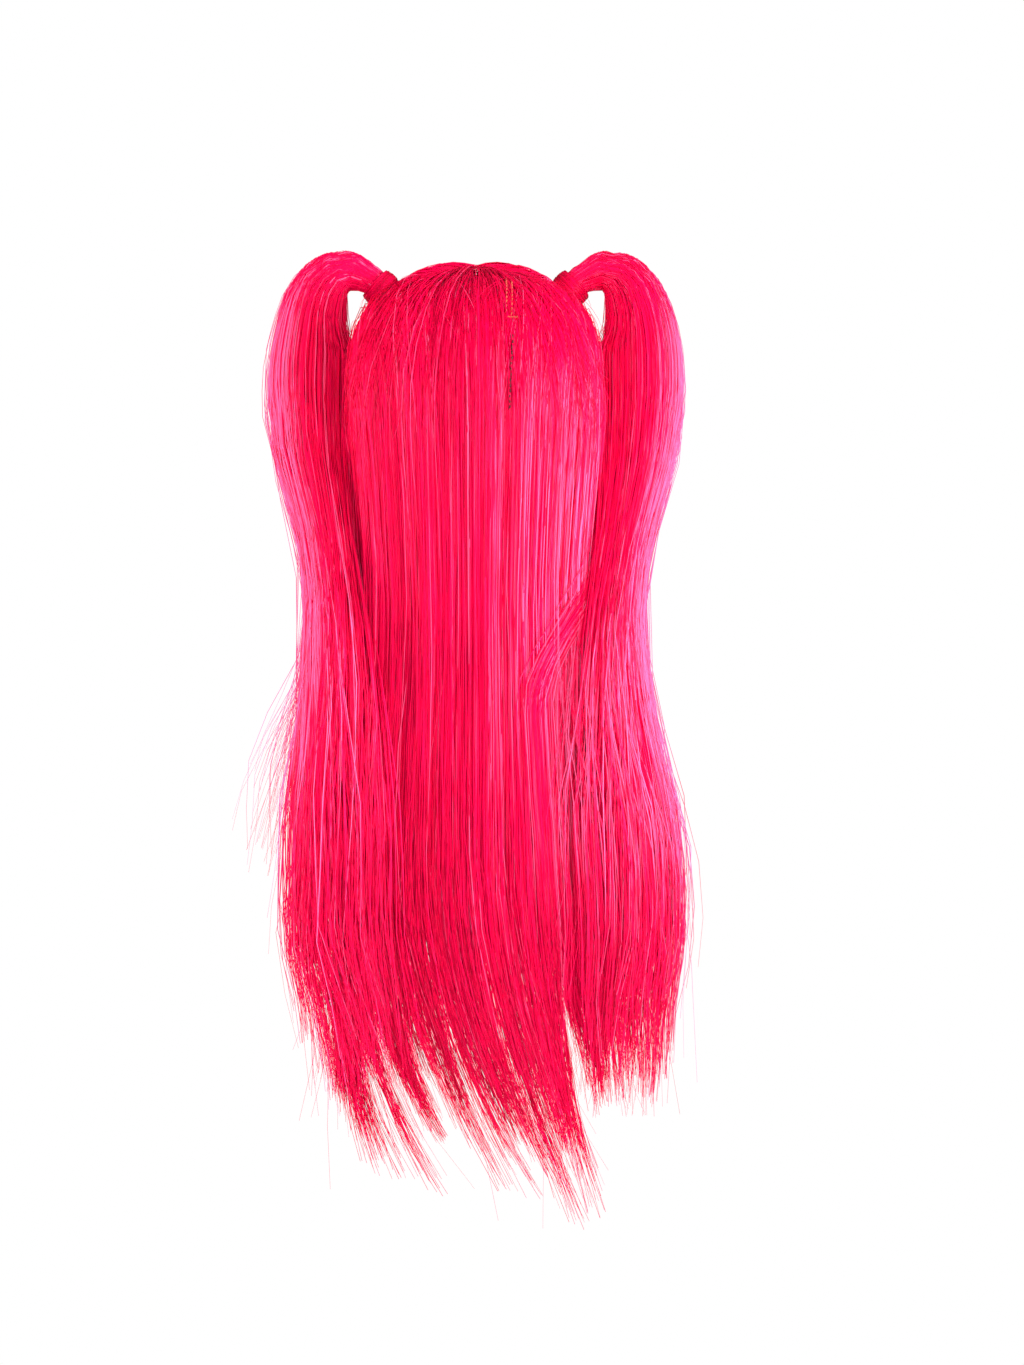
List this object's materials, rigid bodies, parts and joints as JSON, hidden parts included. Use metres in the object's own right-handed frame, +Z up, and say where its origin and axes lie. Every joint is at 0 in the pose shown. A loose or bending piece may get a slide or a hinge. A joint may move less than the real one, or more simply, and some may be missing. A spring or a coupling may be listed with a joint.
{
  "type": "pigtail wig",
  "caption": "Long wig on a knitted cap: two high arching pigtails in wrapped ties, a centre part, and loose back hair to the waist.",
  "frame": {"origin": "inside of the cap's crown, where the top of the head touches it", "axes": "+Z up, the wearer faces -Y, and the wearer's left is +X"},
  "size_m": [0.2754, 0.1996, 0.6173],
  "materials": {
    "cap_net": "matt knitted net with sewn weft rows",
    "hair": "fine synthetic strands with a soft sheen along them",
    "tie_wrap": "strands wound tightly round the neck of the tail",
    "weft_thread": "sewn weft with two rows of stitches"
  },
  "bodies": {
    "root": {"cap": "cap_net", "front_left": "hair", "front_right": "hair", "tie_left": "tie_wrap", "tie_right": "tie_wrap", "pigtail_left": "hair", "pigtail_right": "hair", "back_hair": "hair", "weft_seam": "weft_thread"}
  },
  "joints": []
}
